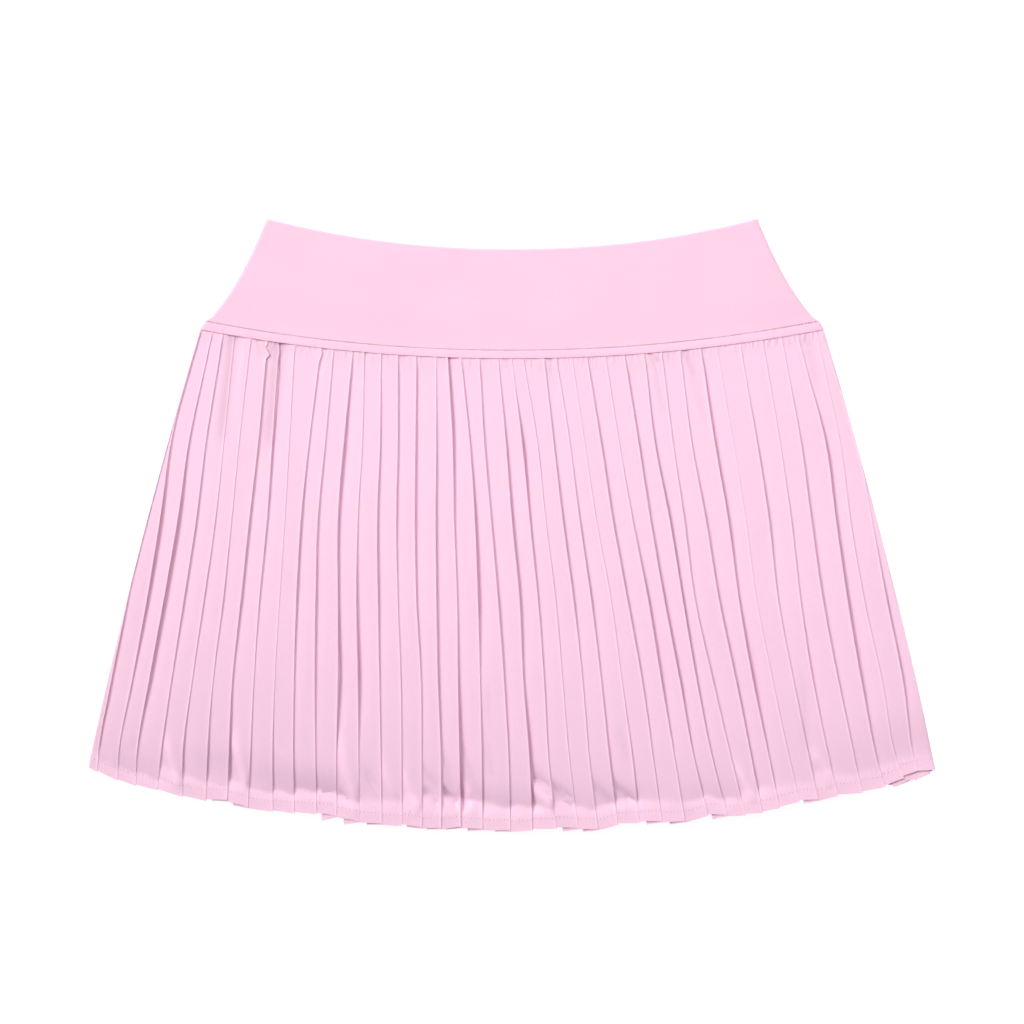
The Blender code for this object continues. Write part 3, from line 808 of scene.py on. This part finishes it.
# start, end, width, depth; a negative depth is a ridge
frontWrinkles = (
    (-146, 176, -132, 172, 1.8, 0.14), (-149, 164, -138, 160, 2, 0.12),
    (-147, 148, -131, 142, 2.2, 0.12), (-160, 134, -150, 129.5, 1.6, 0.16),
    (-148, 131, -136, 127.5, 1.6, 0.18), (-134, 130.5, -128, 126.5, 1.5, 0.12),
    (-58, 123, -47, 117.5, 1.6, 0.2), (-8, 119, 1, 114, 1.5, 0.18),
    (5, 118, 14, 113.5, 1.6, 0.16), (74, 120.5, 87, 116.7, 1.7, 0.18),
    (106, 125, 114, 121.5, 1.5, 0.14), (-168, 140, -172, 130, 2.5, 0.15),
    (-108, 143, -42, 134, 9, -0.25), (26, 132, 62, 128, 8, -0.25),
    (128, 140, 170, 144, 9, -0.22), (-78, 176, -56, 169, 7, -0.2),
    (-5, 175, 2, 167, 5, -0.2), (-30, 158, 12, 150, 12, 0.2),
)
backWrinkles = (
    (-138, 170, -120, 166, 2, 0.14), (-92, 126, -80, 121, 1.7, 0.18),
    (-20, 119, -8, 114.5, 1.6, 0.16), (44, 121, 54, 116.5, 1.6, 0.18),
    (120, 131, 131, 126.5, 1.8, 0.16), (60, 160, 84, 154, 4, 0.15),
    (-60, 150, -10, 142, 10, 0.2), (90, 148, 140, 152, 9, 0.2),
)


def bandXY(u, s):
    top, seam = edgeY(topEdge, u), edgeY(waistSeam, u) + layers["seamGap"]
    return u * bandHalf(s), top + (seam - top) * s


def bandOuterZ(u, s, wrinkles, seed):
    look = bandLook
    x, y = bandXY(u, s)
    fromSeam = (1 - s) * look["height"]
    z = bandTopZ(s) - look["swell"] * (0.5 + 0.5 * swell(x, y, 90, seed)) * smooth(fromSeam / 12)
    for wrinkle in wrinkles:
        z = z - creaseDepth(x, y, wrinkle)
    groove = np.exp(-((fromSeam - look["stitchFromSeam"]) / look["grooveWidth"]) ** 2)
    pull = 1 + 0.5 * swell(x, y * 0, 9, seed + 1)
    z = z - look["grooveDepth"] * groove * pull
    strip = np.sin(np.pi * np.clip(fromSeam / look["stitchFromSeam"], 0, 1))
    return z + look["stripPuff"] * (strip - 1) * (fromSeam < look["stitchFromSeam"]) * 0.6


def makeBand(name, wrinkles, seed, turned, node):
    look = bandLook
    total = look["height"]
    upper = np.array([0, 0.08, 0.3, 0.65, 1.1, 1.8, 3.0, 4.6])
    lower = total - np.array([9, 7.8, 6.9, 6.3, 5.9, 5.5, 5.1, 4.7, 4.1, 3.4,
                              2.6, 1.9, 1.3, 0.9, 0.6, 0.35, 0.15, 0.04, 0])
    down = np.concatenate([upper, np.linspace(6.6, total - 10.5, 26), lower])
    side = 1 - np.array([0, 0.0006, 0.002, 0.0045, 0.008, 0.013, 0.019, 0.027])
    u = np.concatenate([-side, np.linspace(-0.965, 0.965, look["columns"]), side[::-1]])
    s = (down / total)[:, None] + 0 * u
    u = u + 0 * s
    x, y = bandXY(u, s)
    outerZ = bandOuterZ(u, s, wrinkles, seed)
    wall = look["wall"] + (look["lip"] - look["wall"]) * smooth((down - total + 4.5) / 1.2)[:, None]

    def rounded(radius, reach):   # how far a rounded edge has fallen at this distance from it
        return radius - np.sqrt(np.maximum(radius ** 2 - np.maximum(radius - reach, 0) ** 2, 0))

    fall = rounded(look["topRound"], down)[:, None] + rounded(look["lipRound"], total - down)[:, None]
    innerZ = outerZ - wall + fall * (wall / 2 - 0.02) / (wall / 2)
    outerZ = outerZ - fall
    middle = bandTopZ(s) / 2 + layers["gap"]
    half = bandHalf(s)
    edge = np.clip((half - np.abs(x)) / look["sideRoll"], 0, 1)
    roll = np.maximum(np.sqrt(1 - (1 - edge) ** 2), 0.02)
    surfaces = []
    for z in (outerZ, innerZ):
        z = middle + (z - middle) * roll
        surfaces.append(np.stack([-x if turned else x, y, bandTopZ(s) - z if turned else z], 2))
    marks = {"along": x, "fromEdge": (1 - s) * total}
    band = makeShell(name, *surfaces, marks)
    finishPiece(band, bandMaterial, node)
    return band


waistbandFront = makeBand("waistbandFront", frontWrinkles, 31, False, "waistband_front")
waistbandBack = makeBand("waistbandBack", backWrinkles, 37, True, "waistband_back")
print("waistband made")


# Stitching: one small rounded thread for each stitch

stitchLook = {
    "bandPitch": 1.53, "bandLength": 0.82, "bandWidth": 0.62, "hemPitch": 2.4, "hemLength": 1.5, "hemWidth": 0.4,
    "sunk": 0.04, "flatness": 0.36, "sides": 6,
    # along the stitch, and thickness there
    "profile": ((-0.5, 0.12), (-0.38, 0.8), (0.0, 1.0), (0.38, 0.8), (0.5, 0.12)),
}


def makeStitches(name, centres, ahead, up, length, width):
    profile, sides, flatness = stitchLook["profile"], stitchLook["sides"], stitchLook["flatness"]
    ahead = ahead / np.linalg.norm(ahead, axis=1, keepdims=True)
    across = np.cross(up, ahead)
    verts = []
    for along, size in profile:
        for i in range(sides):
            turn = 2 * math.pi * i / sides
            sideways = across * math.cos(turn) * width / 2 * size
            upwards = up * math.sin(turn) * width * flatness * size
            verts.append(centres + ahead * along * length + sideways + upwards)
    verts = np.stack(verts, 1)
    faces = [(r * sides + i, r * sides + (i + 1) % sides, (r + 1) * sides + (i + 1) % sides, (r + 1) * sides + i)
             for r in range(len(profile) - 1) for i in range(sides)]
    each = len(profile) * sides
    allFaces = (np.array(faces)[None] + each * np.arange(len(centres))[:, None, None]).reshape(-1, 4)
    return finishPiece(placeObject(name, smoothMesh(name, verts, allFaces)), threadMaterial)


def bandStitches(name, wrinkles, seed, turned):
    look = stitchLook
    s = np.array([1 - bandLook["stitchFromSeam"] / bandLook["height"]])
    half = bandHalf(s)[0]
    count = int((half - 2.5) / look["bandPitch"])
    x = (np.arange(-count, count) + 0.5) * look["bandPitch"]
    u = x / half
    px, py = bandXY(u, s)
    z = bandOuterZ(u, s + 0 * u, wrinkles, seed)
    middle = bandTopZ(s) / 2 + layers["gap"]
    edge = np.clip((half - np.abs(px)) / bandLook["sideRoll"], 0, 1)
    z = middle + (z - middle) * np.sqrt(1 - (1 - edge) ** 2) - look["sunk"]
    points = np.stack([px, py, z], 1)
    if turned:
        points = points * (-1, 1, 1)
        points[:, 2] = bandTopZ(s) - points[:, 2]
    up = np.array([0, 0, -1.0 if turned else 1.0]) + 0 * points
    ahead = np.gradient(points, axis=0)
    return makeStitches(name, points, ahead, up, look["bandLength"], look["bandWidth"])


def hemStitches(name, made, outer, turned):
    look = stitchLook
    centres, ahead = [], []
    line = outer[made["stitchRow"]]
    for k in np.unique(made["face"]):
        run = line[(made["face"] == k) & made["top"]]
        run = run[np.argsort(run[:, 0])]
        first, last = run[0, 0] + 0.7, run[-1, 0] - 0.3
        low, high = math.ceil(first / look["hemPitch"] - 0.5), math.floor(last / look["hemPitch"] - 0.5)
        x = (np.arange(low, high + 1) + 0.5) * look["hemPitch"]
        if len(x) < 2:
            continue
        points = np.stack([x, np.interp(x, run[:, 0], run[:, 1]), np.interp(x, run[:, 0], run[:, 2])], 1)
        centres.append(points)
        ahead.append(np.gradient(points, axis=0))
    centres, ahead = np.concatenate(centres), np.concatenate(ahead)
    up = np.array([0, 0, -1.0 if turned else 1.0]) + 0 * centres
    centres = centres - up * look["sunk"]
    return makeStitches(name, centres, ahead, up, look["hemLength"], look["hemWidth"])


topstitchFront = bandStitches("topstitchFront", frontWrinkles, 31, False)
topstitchBack = bandStitches("topstitchBack", backWrinkles, 37, True)
hemStitchesFront = hemStitches("hemStitchesFront", frontCloth, frontOuter, False)
hemStitchesBack = hemStitches("hemStitchesBack", backCloth, backOuter, True)
print("stitches made")


# Inner shorts, hidden between the skirt's layers

shortsLook = {
    "wall": 0.8, "turnUp": 8.0, "topHalf": 187.5, "legHalf": 211.5, "bow": 7.0,
    "legOuterY": -117.5, "legInnerY": -131.5, "crotchY": -70.5, "legGap": 14.0, "hemRow": 12.0,
    "bend": 0.74,   # share of the length where the legs part
}


def makeShorts(name, floor, node):
    look = shortsLook
    down, across = np.linspace(0, 1, 54), np.linspace(0, 1, 40)
    halves = []
    for side in (-1, 1):
        bend = look["bend"]
        arc = np.clip((down - bend) / (1 - bend), 0, 1) * math.pi / 2
        topY = edgeY(waistSeam, 0) + look["turnUp"]
        innerX = look["legGap"] * np.sin(arc)
        middleY = topY + (look["crotchY"] - topY) * down / bend
        legY = look["legInnerY"] + (look["crotchY"] - look["legInnerY"]) * np.cos(arc)
        innerY = np.where(down < bend, middleY, legY)
        outerX = look["topHalf"] + (look["legHalf"] - look["topHalf"]) * down
        outerX = outerX + look["bow"] * np.sin(np.pi * down)
        sideTop = edgeY(waistSeam, look["topHalf"] / halfWidth["seam"]) + look["turnUp"]
        outerY = sideTop + (look["legOuterY"] - sideTop) * down
        x = innerX[:, None] + (outerX - innerX)[:, None] * across
        y = innerY[:, None] + (outerY - innerY)[:, None] * across
        curve = edgeY(waistSeam, x / halfWidth["seam"]) + look["turnUp"] - (topY + (sideTop - topY) * across)
        y = y + curve * (1 - down[:, None]) ** 2
        fromHem = (1 - down[:, None]) * 240
        z = floor + 0.5 + 0.12 * swell(x, y, 60, 41) - 0.1 * np.exp(-((fromHem - look["hemRow"]) / 1.5) ** 2)
        z = z + 0.1 * np.exp(-(x / 1.2) ** 2) * (down[:, None] < bend)
        halves.append(np.stack([side * x, y, z], 2)[:, ::side])
    sheet = np.concatenate([halves[0], halves[1][:, 1:]], 1)
    outer, inner = sheet + (0, 0, look["wall"] / 2), sheet - (0, 0, look["wall"] / 2)
    shorts = makeShell(name, outer, inner)
    return finishPiece(shorts, shortsMaterial, node)


shortsBack = makeShorts("shortsBack", layers["shortsBack"], "shorts_back")
shortsFront = makeShorts("shortsFront", layers["shortsFront"], "shorts_front")
print("shorts made")


# Surface, light and camera

stageLook = {
    "floor": (0.12, 0.12, 0.12), "floorGlow": 0.94, "world": 0.23,
    "floorReach": 3.0, "floorDepth": 0.0002,
    "keyFrom": (-3.3, 1.9, 3.2), "keySize": 3.0, "keyPower": 166.0,   # a large soft lamp at the upper left
    "topFrom": (1.2, 3.6, 3.1), "topSize": 3.4, "topPower": 69.0,     # and one above the waist
    # and a small lamp that brightens the right of the band and of the skirt
    "poolFrom": (0.15, 1.3, 2.9), "poolAim": (0.23, 0.14, 0.0), "poolRadius": 0.08, "poolPower": 157.0,
    "poolCone": 19.0, "poolWide": 2.0,
    "lens": 100.0, "sensor": 36.0, "viewWidth": 0.6656, "viewCentre": (0.0, 0.008125), "planeHeight": 0.008,
}


def makeFloor():
    mesh = bpy.data.meshes.new("floor")
    r, z = stageLook["floorReach"], -stageLook["floorDepth"]
    mesh.from_pydata([(-r, -r, z), (r, -r, z), (r, r, z), (-r, r, z)], [], [(0, 1, 2, 3)])
    floor = placeObject("floor", mesh)
    material, tree, shader, place = startMaterial("pale_floor")
    wide = useGroup(tree, mottle, Vector=place, Size=0.4, Amount=0.004, Seed=12.0)
    joinUp(
        tree, shader, Base_Color=tinted(tree, stageLook["floor"], wide.outputs["Shade"]), Roughness=0.9,
        Specular_IOR_Level=0.1, Emission_Color=(1, 1, 1, 1), Emission_Strength=stageLook["floorGlow"])
    mesh.materials.append(material)


def addLight(name, kind, power, place, aim, wide=1.0):
    light = bpy.data.lights.new(name, kind)
    light.energy = power
    lamp = placeObject(name, light)
    back = (Vector(place) - Vector(aim)).normalized()
    up = back.cross(Vector((1, 0, 0))).normalized()   # so that it is widest across the garment
    turn = Matrix((up.cross(back), up, back)).transposed().to_4x4()
    lamp.matrix_world = Matrix.Translation(place) @ turn @ Matrix.Diagonal((wide, 1, 1, 1))
    return light


def makeLights():
    look = stageLook
    key = addLight("keyLight", "AREA", look["keyPower"], look["keyFrom"], (0, 0, 0))
    key.shape, key.size = "DISK", look["keySize"]
    top = addLight("topLight", "AREA", look["topPower"], look["topFrom"], (0, 0, 0))
    top.shape, top.size = "DISK", look["topSize"]
    pool = addLight("poolLight", "SPOT", look["poolPower"], look["poolFrom"], look["poolAim"], look["poolWide"])
    pool.spot_size, pool.spot_blend = math.radians(look["poolCone"]), 1.0   # its light fades towards the rim
    pool.shadow_soft_size = look["poolRadius"]


makeFloor()
makeLights()
world = bpy.data.worlds.new("studio")
world.use_nodes = True
background = world.node_tree.nodes["Background"]
background.inputs["Color"].default_value = (1, 1, 1, 1)
background.inputs["Strength"].default_value = stageLook["world"]
bpy.context.scene.world = world
bpy.context.scene.view_settings.view_transform = "Standard"

cameraData = bpy.data.cameras.new("camera")
cameraData.lens, cameraData.sensor_width = stageLook["lens"], stageLook["sensor"]
camera = placeObject("camera", cameraData)
distance = stageLook["viewWidth"] * stageLook["lens"] / stageLook["sensor"]
camera.location = (*stageLook["viewCentre"], distance + stageLook["planeHeight"])
bpy.context.scene.camera = camera
print("stage and camera made")
